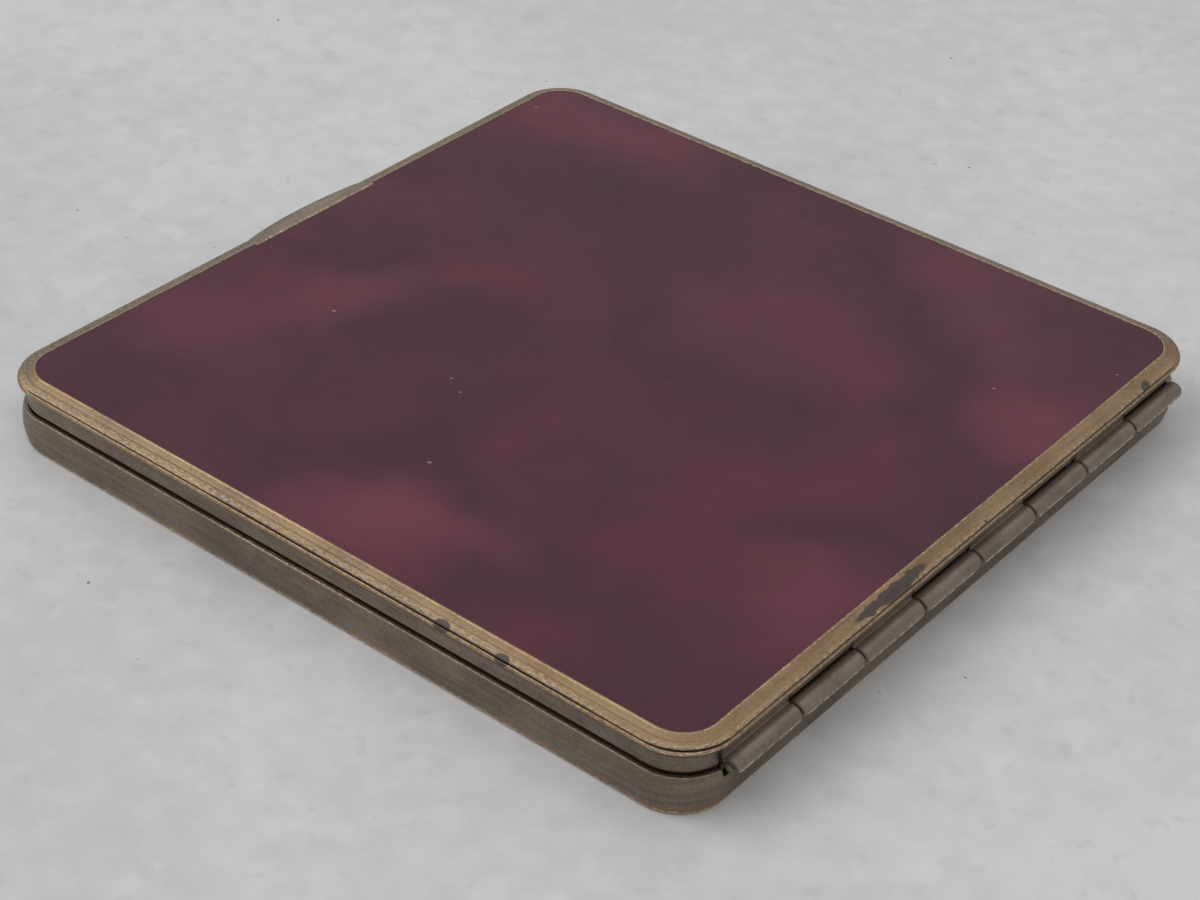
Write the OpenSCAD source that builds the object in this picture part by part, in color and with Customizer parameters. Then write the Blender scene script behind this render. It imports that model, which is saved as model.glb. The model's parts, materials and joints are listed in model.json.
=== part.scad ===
// Slim square pill box: a pressed base pan with three compartments, and a hinged lid
// with a marbled panel outside and a mirror inside.
// Frame: X runs from the thumb lip (-X) to the hinge (+X), Y along the hinge, Z up.
// The origin is the centre of the face that the closed box rests on.

/* [Case] */
// Width and depth of the lid over its rounded nose
case_w = 76; // [66:1:90]
// Height from the resting face to the top of the bezel
case_h = 7.2; // [7.2:0.1:8.4]
// Radius of the visible corner of the lid panel
corner_r = 3.1; // [2.6:0.1:6]
// Width of the metal border from the visible edge of the panel to the nose
border_w = 1.75; // [1.7:0.05:2.2]

/* [Base] */
// Height of the rim of the base pan
rim_z = 3.82; // [3.7:0.02:3.9]
// Thickness of the pressed base sheet
base_t = 0.4; // [0.3:0.05:0.45]
// Radius of the bulge of the base wall, seen in section
bulge_r = 5.9; // [5:0.1:8]
// Radius of the rounded foot edge
foot_r = 0.5; // [0.45:0.05:0.7]
// Thickness of the inner pan
liner_t = 0.3; // [0.25:0.05:0.35]
// Height of the top of the inner pan, which locates the lid
collar_z = 4.9; // [4.6:0.05:4.95]
// Thickness of the compartment dividers
divider_t = 0.35; // [0.3:0.05:0.6]
// Height of the top of the dividers
divider_z = 4.6; // [3:0.1:4.7]

/* [Lid] */
// Gap between the rim of the base and the lower edge of the lid's neck
seam_gap = 0.23; // [0.15:0.01:0.3]
// Thickness of the lid's neck
neck_t = 0.4; // [0.3:0.05:0.45]
// Radius of the rolled bead round the lid
bead_r = 0.31; // [0.28:0.01:0.32]
// Thickness of the marbled panel
panel_t = 0.5; // [0.4:0.05:0.55]
// Thickness of the card under the panel
card_t = 0.2; // [0.15:0.05:0.2]
// Thickness of the lid's flat plate
plate_t = 0.35; // [0.3:0.05:0.4]
// Thickness of the mirror glass
mirror_t = 0.8; // [0.7:0.05:0.85]

/* [Hinge] */
// Number of knuckles, lid and base together
knuckles = 8; // [4:2:12]
// Length of the row of knuckles
hinge_len = 67.6; // [50:0.2:68]
// Outer radius of a knuckle
barrel_r = 0.9; // [0.75:0.05:0.9]
// Radius of the hinge wire
pin_r = 0.38; // [0.3:0.02:0.42]
// Gap between two knuckles
knuckle_gap = 0.16; // [0.1:0.02:0.3]

/* [Thumb lip] */
// Length of the thumb lip along the edge
lip_len = 16; // [12:0.5:20]
// How far the thumb lip stands out past the nose
lip_reach = 0.88; // [0.6:0.02:1.2]
// Radius of the outer arc of the thumb lip
lip_arc_r = 27; // [24:1:34]
// Thickness of the thumb lip sheet
lip_t = 0.26; // [0.2:0.02:0.3]

/* [Hidden] */
$fn = 64;
eps = 0.01;

// Every ring of the case turns its corners round the same four centres.
nose = case_w / 2;
panel_half = nose - border_w;
corner_c = panel_half - corner_r;

// Base, outward distances from the centre
wall_max = nose - 0.12;
bulge_x = wall_max - bulge_r;
bulge_z = 2.25;
foot_x = bulge_x + sqrt(pow(bulge_r, 2) - pow(bulge_z - foot_r, 2));
collar_out = panel_half + 0.55;
collar_in = collar_out - 0.35;
floor_z = base_t + liner_t;
floor_edge = corner_c + 1;

// Lid, heights
lip_rise = 0.12;
panel_z = case_h - lip_rise;
card_z = panel_z - panel_t;
plate_z = card_z - card_t;
plate_under = plate_z - plate_t;
pad_t = 0.15;
mirror_back = plate_under - pad_t;
mirror_face = mirror_back - mirror_t;
neck_z = rim_z + seam_gap;
bead_z = case_h - 0.52;

// Lid, outward distances from the centre
neck_in = collar_out + 0.12;
neck_out = neck_in + neck_t;
pocket = panel_half + 0.35;
panel_edge = pocket - 0.05;
seam_x = nose - 0.15;
mirror_half = panel_half - 0.4;
frame_t = 0.22;
frame_in = mirror_half + 0.05;
frame_out = frame_in + frame_t;
frame_lip = mirror_half - 0.95;

// Hinge
hinge_x = nose + 0.08;
hinge_z = neck_z;
pitch = hinge_len / knuckles;
sweep_gap = 0.12;
leaf_t = 0.35;
lid_leaf_z = hinge_z + barrel_r + 0.14;
base_leaf_x = collar_out + 0.05;
base_leaf_z = hinge_z - 0.7;
base_leaf_foot = base_t + 0.5;
tab_t = 0.4;
leaf_half = min(corner_c, hinge_len / 2) - 0.05;

// Thumb lip: how far it reaches in over the panel
lip_inset = 0.36;

// Catch behind the thumb lip
catch_len = 14;
catch_t = 0.25;
catch_z = [3.1, collar_z - 0.2];
nose_len = 4;
nose_z = [4.25, 4.6];
window_gap = 0.12;
rivet_y = 5.4;
rivet_z = 3.62;
rivet_r = 0.3;
rivet_head_r = 0.5;
rivet_head_t = 0.15;

brass = "#8f7a5f";
aged_brass = "#675d52";
gilt = "#b0935f";

// Rounded square whose corners turn round the common centres
module rounded_square(half) {
    square([2 * half, 2 * corner_c], center = true);
    square([2 * corner_c, 2 * half], center = true);
    for (x = [-1, 1], y = [-1, 1])
        translate([x * corner_c, y * corner_c])
            circle(r = half - corner_c);
}

// Flat rounded-square sheet from height z upwards
module sheet(half, z, t) {
    translate([0, 0, z])
        linear_extrude(t)
            rounded_square(half);
}

// Sweeps a section (x = distance from the centre, y = height) round the rounded square
module ring() {
    for (i = [0:3])
        rotate([0, 0, 90 * i]) {
            translate([0, corner_c, 0])
                rotate([90, 0, 0])
                    linear_extrude(2 * corner_c)
                        children();
            translate([corner_c, corner_c, 0])
                rotate_extrude(angle = 90)
                    translate([-corner_c, 0])
                        children();
        }
}

// Rectangle in a section, from its inner lower corner to its outer upper corner
module bar(x0, z0, x1, z1) {
    translate([x0, z0])
        square([x1 - x0, z1 - z0]);
}

// Cylinder along Y, centred on y
module rod(x, y, z, r, len) {
    translate([x, y - len / 2, z])
        rotate([-90, 0, 0])
            cylinder(r = r, h = len);
}

// Box from one corner to the opposite one
module block(from, to) {
    translate(from)
        cube(to - from);
}

function knuckle_y(i) = -hinge_len / 2 + pitch * (i + 0.5);

// Outer outline of the base wall in section, filled inwards over the edge of the floor
module base_outline() {
    intersection() {
        bar(floor_edge, foot_r, nose, rim_z);
        translate([bulge_x, bulge_z])
            circle(r = bulge_r);
    }
    bar(floor_edge, 0, foot_x - foot_r, foot_r);
    translate([foot_x - foot_r, foot_r])
        circle(r = foot_r);
}

module base_section() {
    difference() {
        base_outline();
        intersection() {
            bar(floor_edge - 1, base_t, nose, rim_z + 1);
            translate([bulge_x, bulge_z])
                circle(r = bulge_r - base_t);
        }
    }
}

module base_shell() {
    color(aged_brass)
        difference() {
            union() {
                ring() base_section();
                sheet(floor_edge + 0.5, 0, base_t);
            }
            // room for the turning knuckles
            rod(hinge_x, 0, hinge_z, barrel_r + sweep_gap, hinge_len + 2 * sweep_gap);
        }
}

module base_liner() {
    color(gilt)
        difference() {
            union() {
                sheet(collar_in + eps, base_t, liner_t);
                ring() bar(collar_in, base_t, collar_out, collar_z);
            }
            // window for the nose of the catch
            block([-collar_out - 1, -nose_len / 2 - window_gap, nose_z[0] - window_gap],
                  [-collar_in + 1, nose_len / 2 + window_gap, nose_z[1] + window_gap]);
            for (side = [-1, 1])
                translate([-collar_out - 1, side * rivet_y, rivet_z])
                    rotate([0, 90, 0])
                        cylinder(r = rivet_r, h = 2);
        }
}

module divider_long() {
    color(gilt)
        block([-divider_t / 2, -collar_in, floor_z], [divider_t / 2, collar_in, divider_z]);
}

module divider_short() {
    color(gilt)
        block([divider_t / 2, -divider_t / 2, floor_z], [collar_in, divider_t / 2, divider_z]);
}

module catch_spring() {
    color("#a8a39a")
        difference() {
            union() {
                block([-collar_in, -catch_len / 2, catch_z[0]],
                      [-collar_in + catch_t, catch_len / 2, catch_z[1]]);
                block([-collar_out - 0.05, -nose_len / 2, nose_z[0]],
                      [-collar_in + eps, nose_len / 2, nose_z[1]]);
            }
            for (side = [-1, 1])
                translate([-collar_out, side * rivet_y, rivet_z])
                    rotate([0, 90, 0])
                        cylinder(r = rivet_r, h = 2);
        }
}

// One rivet along X: head inside the box, shank, and tail outside the inner pan
module rivet() {
    rotate([0, 90, 0]) {
        translate([0, 0, -rivet_head_t])
            cylinder(r = rivet_head_r, h = rivet_head_t);
        cylinder(r = rivet_r, h = collar_out - collar_in + catch_t);
        translate([0, 0, collar_out - collar_in + catch_t])
            cylinder(r = rivet_head_r, h = rivet_head_t);
    }
}

module catch_rivets() {
    color(brass)
        for (side = [-1, 1])
            translate([-collar_out, side * rivet_y, rivet_z])
                rivet();
}

module hinge_leaf_base() {
    color(aged_brass)
        difference() {
            union() {
                block([base_leaf_x, -leaf_half, base_leaf_foot],
                      [base_leaf_x + leaf_t, leaf_half, base_leaf_z]);
                for (i = [1:2:knuckles - 1]) {
                    y = knuckle_y(i);
                    half = (pitch - knuckle_gap) / 2;
                    block([base_leaf_x, max(y - half, -leaf_half), base_leaf_z - eps],
                          [base_leaf_x + leaf_t, min(y + half, leaf_half), hinge_z]);
                    block([base_leaf_x, y - half, hinge_z - tab_t],
                          [hinge_x - pin_r - 0.1, y + half, hinge_z]);
                    rod(hinge_x, y, hinge_z, barrel_r, 2 * half);
                }
            }
            rod(hinge_x, 0, hinge_z, pin_r + 0.01, hinge_len + 2);
        }
}

module hinge_pin() {
    color("#8c867c")
        rod(hinge_x, 0, hinge_z, pin_r, hinge_len - 0.1);
}

module lid_wall_section() {
    bar(neck_in, neck_z, neck_out, bead_z - bead_r);
    bar(neck_in, bead_z - 2 * bead_r, nose - bead_r, bead_z);
    translate([nose - bead_r, bead_z - bead_r])
        circle(r = bead_r);
}

module lid_wall() {
    color(aged_brass)
        difference() {
            ring() lid_wall_section();
            // the neck stops above the knuckles
            block([neck_in - 1, -hinge_len / 2 - 0.2, neck_z - 1],
                  [nose, hinge_len / 2 + 0.2, lid_leaf_z]);
            // groove that the nose of the catch snaps into
            block([-neck_in - 0.15, -nose_len / 2 - 0.2, nose_z[0] - 0.05],
                  [-neck_in + 1, nose_len / 2 + 0.2, nose_z[1] + 0.05]);
        }
}

module lid_plate() {
    color(brass)
        sheet(neck_in, plate_under, plate_t);
}

module panel_backing() {
    color("#b9a98c")
        sheet(panel_edge, plate_z, card_t);
}

module lid_panel() {
    color("#5c3e48")
        sheet(panel_edge, card_z, panel_t);
}

// Section of the border: raised lip, sloping band, shoulder line, and a spigot inside the bead
module bezel_section() {
    polygon([
        [panel_half, panel_z],
        [panel_half, case_h - 0.03],
        [panel_half + 0.04, case_h],
        [panel_half + 0.15, case_h],
        [panel_half + 0.26, case_h - 0.08],
        [panel_half + 0.83, case_h - 0.26],
        [panel_half + 0.92, case_h - 0.33],
        [panel_half + 1.42, case_h - 0.4],
        [seam_x, case_h - 0.46],
        [seam_x, bead_z],
        [neck_in, bead_z],
        [neck_in, plate_z],
        [pocket, plate_z],
        [pocket, panel_z],
    ]);
}

module bezel_frame() {
    color(brass)
        ring() bezel_section();
}

// Crescent outline of the thumb lip, seen from above: an arc outside, a straight edge on the panel
module lip_outline() {
    arc_x = -nose - lip_reach + lip_arc_r;
    intersection() {
        translate([arc_x, 0])
            circle(r = lip_arc_r, $fn = 256);
        translate([-nose - 2, -lip_len / 2])
            square([nose + 2 - panel_half + lip_inset, lip_len]);
    }
}

// Bent section of the thumb lip: it lies on the bezel and runs on past the nose
module lip_section() {
    difference() {
        polygon([
            [panel_half - 1, panel_z + 0.01],
            [panel_half - 1, case_h + 0.07],
            [panel_half + 0.2, case_h + 0.07],
            [panel_half + 0.9, case_h - 0.08],
            [nose, case_h - 0.36],
            [nose + 2, case_h - 0.8],
            [nose + 2, case_h - 0.8 - lip_t],
            [nose, case_h - 0.36 - lip_t],
            [seam_x, bead_z + 0.02],
            [neck_in, bead_z + 0.02],
            [pocket + 0.05, panel_z - 0.1],
            [pocket, panel_z + 0.01],
        ]);
        bezel_section();
    }
}

module thumb_lip() {
    color(brass)
        intersection() {
            translate([0, 0, bead_z - 1])
                linear_extrude(3)
                    lip_outline();
            rotate([90, 0, 180])
                translate([0, 0, -lip_len])
                    linear_extrude(2 * lip_len)
                        lip_section();
        }
}

module mirror_pad() {
    color("#3b3733")
        sheet(mirror_half, mirror_back, pad_t);
}

module mirror() {
    color("#c9d2d4")
        sheet(mirror_half, mirror_face, mirror_t);
}

module mirror_frame() {
    color(gilt)
        ring() {
            bar(frame_in, plate_under - frame_t, neck_in - 0.02, plate_under);
            bar(frame_in, mirror_face - frame_t, frame_out, plate_under);
            bar(frame_lip, mirror_face - frame_t, frame_out, mirror_face);
        }
}

module hinge_leaf_lid() {
    color(aged_brass)
        difference() {
            union() {
                block([neck_out, -leaf_half, lid_leaf_z],
                      [neck_out + leaf_t, leaf_half, bead_z - 2 * bead_r]);
                for (i = [0:2:knuckles - 2]) {
                    y = knuckle_y(i);
                    half = (pitch - knuckle_gap) / 2;
                    block([neck_out, y - half, hinge_z], [neck_out + leaf_t, y + half, lid_leaf_z + 0.3]);
                    rod(hinge_x, y, hinge_z, barrel_r, 2 * half);
                }
            }
            rod(hinge_x, 0, hinge_z, pin_r + 0.05, hinge_len + 2);
        }
}

base_shell();
base_liner();
divider_long();
divider_short();
catch_spring();
catch_rivets();
hinge_leaf_base();
hinge_pin();
lid_wall();
lid_plate();
panel_backing();
lid_panel();
bezel_frame();
thumb_lip();
mirror_pad();
mirror();
mirror_frame();
hinge_leaf_lid();
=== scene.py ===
"""Looks of the slim square pill box: worn brass case, marbled lid, mirror and gilt inner pan.

Lengths are in millimetres until they reach a mesh, which is in metres like the CAD frame.
A ring's section is written as (d, z): d is the distance out from the centre of the case.
"""
import json
import math

import bmesh
import bpy
from mathutils import Matrix, Vector, noise


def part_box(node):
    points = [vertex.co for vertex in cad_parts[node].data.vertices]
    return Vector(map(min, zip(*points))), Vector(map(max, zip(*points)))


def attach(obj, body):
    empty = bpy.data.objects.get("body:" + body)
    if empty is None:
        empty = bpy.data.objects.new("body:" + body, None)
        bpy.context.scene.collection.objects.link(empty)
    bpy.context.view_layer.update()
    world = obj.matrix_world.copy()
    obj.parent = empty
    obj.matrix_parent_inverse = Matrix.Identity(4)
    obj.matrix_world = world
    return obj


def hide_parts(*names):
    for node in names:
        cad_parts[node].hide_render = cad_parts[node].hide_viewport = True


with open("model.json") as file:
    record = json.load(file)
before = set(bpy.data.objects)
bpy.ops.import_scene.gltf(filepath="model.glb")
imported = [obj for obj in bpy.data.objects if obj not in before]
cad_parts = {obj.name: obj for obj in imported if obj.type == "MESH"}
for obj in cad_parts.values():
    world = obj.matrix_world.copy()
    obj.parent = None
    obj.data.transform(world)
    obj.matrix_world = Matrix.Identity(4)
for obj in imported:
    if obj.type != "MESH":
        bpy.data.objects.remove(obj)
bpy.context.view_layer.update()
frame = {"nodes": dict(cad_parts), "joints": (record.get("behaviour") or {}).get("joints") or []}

MM = 0.001


# ---------------------------------------------------------------- sizes from the frame

def low(node):
    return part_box(node)[0] / MM


def high(node):
    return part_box(node)[1] / MM


NOSE = high("lid_wall").x
CASE_H = high("bezel_frame").z
PANEL_Z = high("lid_panel").z
CARD_Z = low("lid_panel").z
PLATE_Z = low("panel_backing").z
PLATE_UNDER = low("lid_plate").z
BEAD_Z = high("lid_wall").z
NECK_Z = low("lid_wall").z
NECK_IN = high("lid_plate").x
SEAM_X = high("bezel_frame").x
PANEL_EDGE = high("lid_panel").x
RIM_Z = high("base_shell").z
LINER_Z = low("base_liner").z
COLLAR_OUT = high("base_liner").x
COLLAR_Z = high("base_liner").z
FLOOR_Z = low("divider_long").z
DIVIDER_Z = high("divider_long").z
COLLAR_IN = high("divider_long").y
MIRROR_HALF = high("mirror").x
MIRROR_FACE = low("mirror").z
MIRROR_BACK = high("mirror").z
HINGE_X, _, HINGE_Z = (v / MM for v in frame["joints"][0]["pos_m"])
BARREL_R = high("hinge_leaf_lid").x - HINGE_X
PIN_R = high("hinge_pin").x - HINGE_X
PIN_HALF = high("hinge_pin").y
LIP_TIP = low("thumb_lip").x
LIP_HALF = high("thumb_lip").y

# Dimensions of the case that no single box gives
PANEL_HALF = 36.34
CORNER_C = 33.15
LIP_TOP = CASE_H - 0.04
PANEL_FACE = CASE_H - 0.08
GROOVE = PANEL_HALF + 0.78
BEAD_R = 0.31
NECK_T = 0.4
SHEET_T = 0.4
BULGE = Vector((31.98, 2.25))
BULGE_R = 5.9
FOOT_R = 0.5
SCOOP_Z = 3.05
TAB_ARC = 31.0
TAB_TIP = LIP_TIP + 0.12
CATCH_HALF = 2.0
CATCH_LOW, CATCH_HIGH = 4.25, 4.6
KNUCKLES = 8
KNUCKLE_GAP = 0.16
HINGE_HALF = PIN_HALF + 0.05
PITCH = 2 * HINGE_HALF / KNUCKLES
LEAF_Z = HINGE_Z + BARREL_R + 0.14

# Sides and corners of the case, as flat directions
NEAR, THUMB_SIDE, BACK, NEAR_CORNER = (0, -1), (-1, 0), (0, 1), (0.7, -0.7)


# ---------------------------------------------------------------- small helpers

def smooth(start, end, value):
    """0 at start, 1 at end, an S curve between them, and level past both."""
    t = min(max((value - start) / (end - start), 0.0), 1.0)
    return t * t * (3 - 2 * t)


def grain(p, size, seed=0.0):
    """Smooth noise from -1 to 1 with bumps about size across."""
    return noise.noise(Vector((p.x / size + seed, p.y / size - seed, p.z / size + 2 * seed)))


def rounded(corners, closed=True, steps=4):
    """Outline through (d, z, radius) corners, where a corner with a radius becomes a curve."""
    points = []
    count = len(corners)
    for i, (d, z, radius) in enumerate(corners):
        here = Vector((d, z))
        if radius <= 0 or (not closed and i in (0, count - 1)):
            points.append(here)
            continue
        back = Vector(corners[i - 1][:2]) - here
        ahead = Vector(corners[(i + 1) % count][:2]) - here
        cut = radius / math.tan(back.angle(ahead) / 2)
        cut = min(cut, 0.49 * back.length, 0.49 * ahead.length)
        start = here + back.normalized() * cut
        end = here + ahead.normalized() * cut
        for k in range(steps + 1):
            t = k / steps
            points.append(start * (1 - t) ** 2 + here * 2 * t * (1 - t) + end * t * t)
    return points


def arc(centre, radius, start, end, steps):
    """Points on an arc, with its angles in degrees."""
    turns = [math.radians(start + (end - start) * k / steps) for k in range(steps + 1)]
    return [Vector((centre[0] + radius * math.cos(a), centre[1] + radius * math.sin(a))) for a in turns]


def distance_out(p):
    """A point's d: how far out from the centre of the case it is, along the way its ring faces."""
    ax, ay = abs(p.x), abs(p.y)
    if ax > CORNER_C and ay > CORNER_C:
        return CORNER_C + math.hypot(ax - CORNER_C, ay - CORNER_C)
    return max(ax, ay)


def facing(p, way):
    """1 where the case faces way, a flat direction, and 0 past its corners."""
    flat = Vector((max(abs(p.x) - CORNER_C, 0) * math.copysign(1, p.x),
                   max(abs(p.y) - CORNER_C, 0) * math.copysign(1, p.y)))
    return smooth(0.45, 0.95, flat.normalized().dot(Vector(way))) if flat.length > 0 else 0.0


def far_side(p):
    """1 on the two sides that are away from the near corner: the thumb lip's and the back one."""
    return max(facing(p, THUMB_SIDE), facing(p, BACK))


# ---------------------------------------------------------------- meshes

class Column:
    """One place on the way round the case: its ring section stands there, facing out."""

    def __init__(self, base, out, run):
        self.base = base
        self.out = out
        self.run = run

    def at(self, d):
        return self.base + self.out * (d - CORNER_C)

    def hinge(self):
        """1 under the row of knuckles, 0 elsewhere."""
        p = self.at(NOSE)
        if p.x < CORNER_C:
            return 0.0
        return 1 - smooth(HINGE_HALF - 0.02, HINGE_HALF + 0.1, abs(p.y))


def columns_round(side_steps=96, corner_steps=52):
    """Columns all the way round, starting at the back corner of the thumb lip's side."""
    columns = []
    run = 0.0
    corner_run = (NOSE - CORNER_C) * math.pi / 2
    for turn in (180, 270, 360, 450):
        heading = math.radians(turn)
        out = Vector((math.cos(heading), math.sin(heading)))
        along = Vector((-out.y, out.x))
        for i in range(side_steps + 1):
            s = CORNER_C * (2 * i / side_steps - 1)
            columns.append(Column(out * CORNER_C + along * s, out, run + CORNER_C + s))
        run += 2 * CORNER_C
        for i in range(1, corner_steps):
            a = heading + math.pi / 2 * i / corner_steps
            way = Vector((math.cos(a), math.sin(a)))
            columns.append(Column((out + along) * CORNER_C, way, run + corner_run * i / corner_steps))
        run += corner_run
    return columns, run


COLUMNS, ROUND = columns_round()


def make_mesh(name, verts, faces, uvs=None):
    """Mesh in metres from millimetre points, shaded smooth, with its faces turned outwards."""
    mesh = bpy.data.meshes.new(name)
    mesh.from_pydata([Vector(v) * MM for v in verts], [], faces)
    if uvs:
        layer = mesh.uv_layers.new(name="along")
        layer.data.foreach_set("uv", [c for uv in uvs for c in uv])
    work = bmesh.new()
    work.from_mesh(mesh)
    bmesh.ops.recalc_face_normals(work, faces=work.faces)
    work.to_mesh(mesh)
    work.free()
    mesh.shade_smooth()
    return mesh


def sweep(name, section, caps=False):
    """Sweeps section(column), a list of (d, z) points, round the case.

    A closed outline makes a ring. With caps the outline is open, and both its ends are
    filled in to the centre."""
    verts, faces, uvs = [], [], []
    count = 0
    lengths = []
    for column in COLUMNS:
        outline = section(column)
        count = len(outline)
        total = 0.0
        row = [0.0]
        for k in range(1, count + 1):
            total += (Vector(outline[k % count]) - Vector(outline[k - 1])).length
            row.append(total)
        lengths.append(row)
        for d, z in outline:
            flat = column.at(d)
            verts.append(Vector((flat.x, flat.y, z)))
    around = len(COLUMNS)
    spans = count - 1 if caps else count
    for i in range(around):
        j = (i + 1) % around
        run = (COLUMNS[i].run, COLUMNS[j].run if j else ROUND)
        for k in range(spans):
            q = (k + 1) % count
            faces.append((i * count + k, j * count + k, j * count + q, i * count + q))
            uvs += [(run[0], lengths[i][k]), (run[1], lengths[j][k]),
                    (run[1], lengths[j][k + 1]), (run[0], lengths[i][k + 1])]
    if caps:
        for k in (0, count - 1):
            cap(verts, faces, uvs, [i * count + k for i in range(around)])
    return make_mesh(name, verts, faces, uvs)


def cap(verts, faces, uvs, edge, shares=(0.93, 0.8, 0.6, 0.4, 0.2)):
    """Fills a level loop of vertices with rings that shrink to the centre."""
    height = verts[edge[0]].z
    outer = list(edge)
    for share in shares:
        inner = []
        for v in edge:
            inner.append(len(verts))
            verts.append(Vector((verts[v].x * share, verts[v].y * share, height)))
        for i in range(len(edge)):
            j = (i + 1) % len(edge)
            face = (outer[i], outer[j], inner[j], inner[i])
            faces.append(face)
            uvs += [(verts[v].x, verts[v].y) for v in face]
        outer = inner
    centre = len(verts)
    verts.append(Vector((0, 0, height)))
    for i in range(len(edge)):
        face = (outer[i], outer[(i + 1) % len(edge)], centre)
        faces.append(face)
        uvs += [(verts[v].x, verts[v].y) for v in face]


def paint(mesh, name, rule):
    """Stores rule(point in millimetres) on the vertices, for the materials to read."""
    layer = mesh.attributes.new(name, "FLOAT", "POINT")
    layer.data.foreach_set("value", [rule(v.co / MM) for v in mesh.vertices])


def piece(name, mesh, body, slot, look, *nodes):
    """Puts a mesh into the model as a piece that rides on a body and stands for CAD nodes."""
    obj = bpy.data.objects.new(name, mesh)
    bpy.context.scene.collection.objects.link(obj)
    mesh.materials.append(look)
    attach(obj, body)
    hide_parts(*nodes)
    weigh_normals(obj)
    return obj


def weigh_normals(obj):
    """Keeps flat faces flat beside the small curves of their edges."""
    modifier = obj.modifiers.new("Even normals", "WEIGHTED_NORMAL")
    modifier.weight = 90


def combine(name, meshes, operation):
    """Joins meshes, or cuts the later ones out of the first, and returns the result."""
    objects = [bpy.data.objects.new(f"{name}_{i}", mesh) for i, mesh in enumerate(meshes)]
    for obj in objects:
        bpy.context.scene.collection.objects.link(obj)
    for tool in objects[1:]:
        modifier = objects[0].modifiers.new("Join", "BOOLEAN")
        modifier.operation = operation
        modifier.object = tool
    bpy.context.view_layer.update()
    seen = objects[0].evaluated_get(bpy.context.evaluated_depsgraph_get())
    result = bpy.data.meshes.new_from_object(seen)
    result.name = name
    for obj in objects:
        bpy.data.objects.remove(obj)
    return result


def block(name, from_corner, to_corner):
    """Plain box, used only to cut with."""
    a, b = from_corner, to_corner
    verts = [(x, y, z) for x in (a[0], b[0]) for y in (a[1], b[1]) for z in (a[2], b[2])]
    faces = [(0, 1, 3, 2), (4, 6, 7, 5), (0, 4, 5, 1), (2, 3, 7, 6), (0, 2, 6, 4), (1, 5, 7, 3)]
    return make_mesh(name, verts, faces)


def extrude_along_y(name, sections):
    """Closed solid through sections, each (y, [(x, z), ...]) with as many points."""
    verts, faces = [], []
    count = len(sections[0][1])
    for y, outline in sections:
        verts += [(x, y, z) for x, z in outline]
    for i in range(len(sections) - 1):
        for k in range(count):
            q = (k + 1) % count
            faces.append((i * count + k, (i + 1) * count + k, (i + 1) * count + q, i * count + q))
    faces.append(tuple(range(count)))
    faces.append(tuple(range(len(verts) - count, len(verts))))
    return make_mesh(name, verts, faces)


# ---------------------------------------------------------------- materials

def rgb(r, g, b):
    """Linear colour from the 0 to 255 values of a screen."""
    def linear(c):
        c /= 255
        return c / 12.92 if c <= 0.04045 else ((c + 0.055) / 1.055) ** 2.4
    return (linear(r), linear(g), linear(b), 1.0)


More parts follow.
